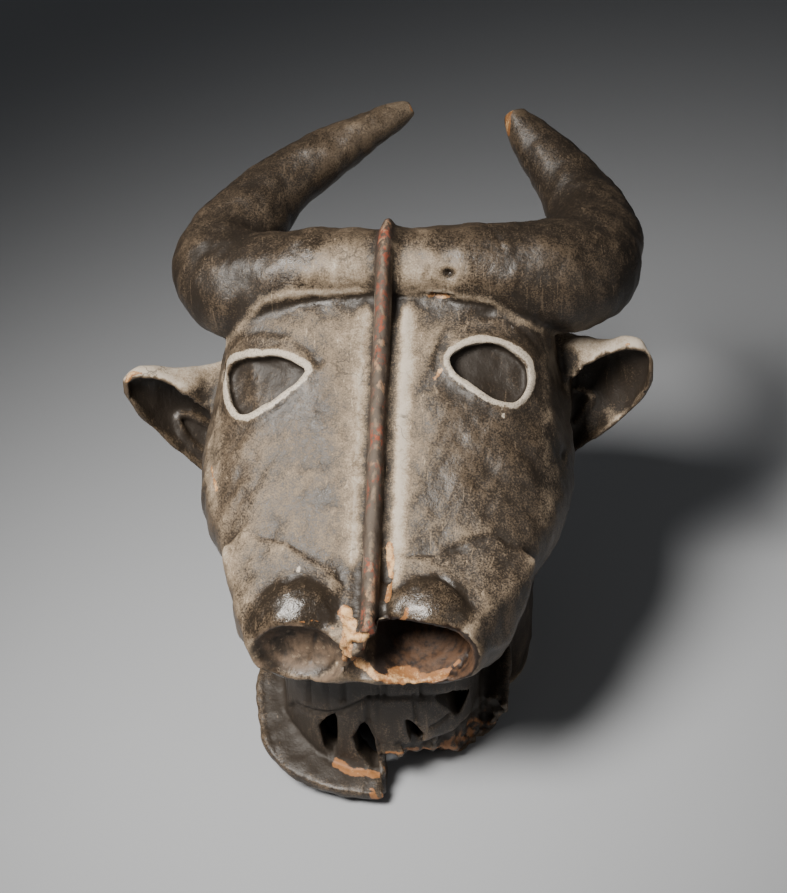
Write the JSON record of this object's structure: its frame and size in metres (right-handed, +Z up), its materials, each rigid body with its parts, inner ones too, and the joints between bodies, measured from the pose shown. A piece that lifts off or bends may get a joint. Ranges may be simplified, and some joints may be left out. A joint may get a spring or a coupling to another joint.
{
  "type": "buffalo headdress mask",
  "caption": "Carved wooden buffalo helmet mask with curved horns, scooped ears, almond eyes, a crest down the face, open nostrils and a jaw broken on one side.",
  "frame": {"origin": "on the floor under the middle of the mask's plan, at the height of the flat rim of its hollow", "axes": "+Z up, +X towards the ear with the taller horn side, the muzzle points to -Y"},
  "size_m": [0.3698, 0.377, 0.353],
  "materials": {
    "wood": "dark patina, rubbed to a pale grey-brown on the raised parts"
  },
  "bodies": {
    "root": {"mask": "wood"}
  },
  "joints": []
}
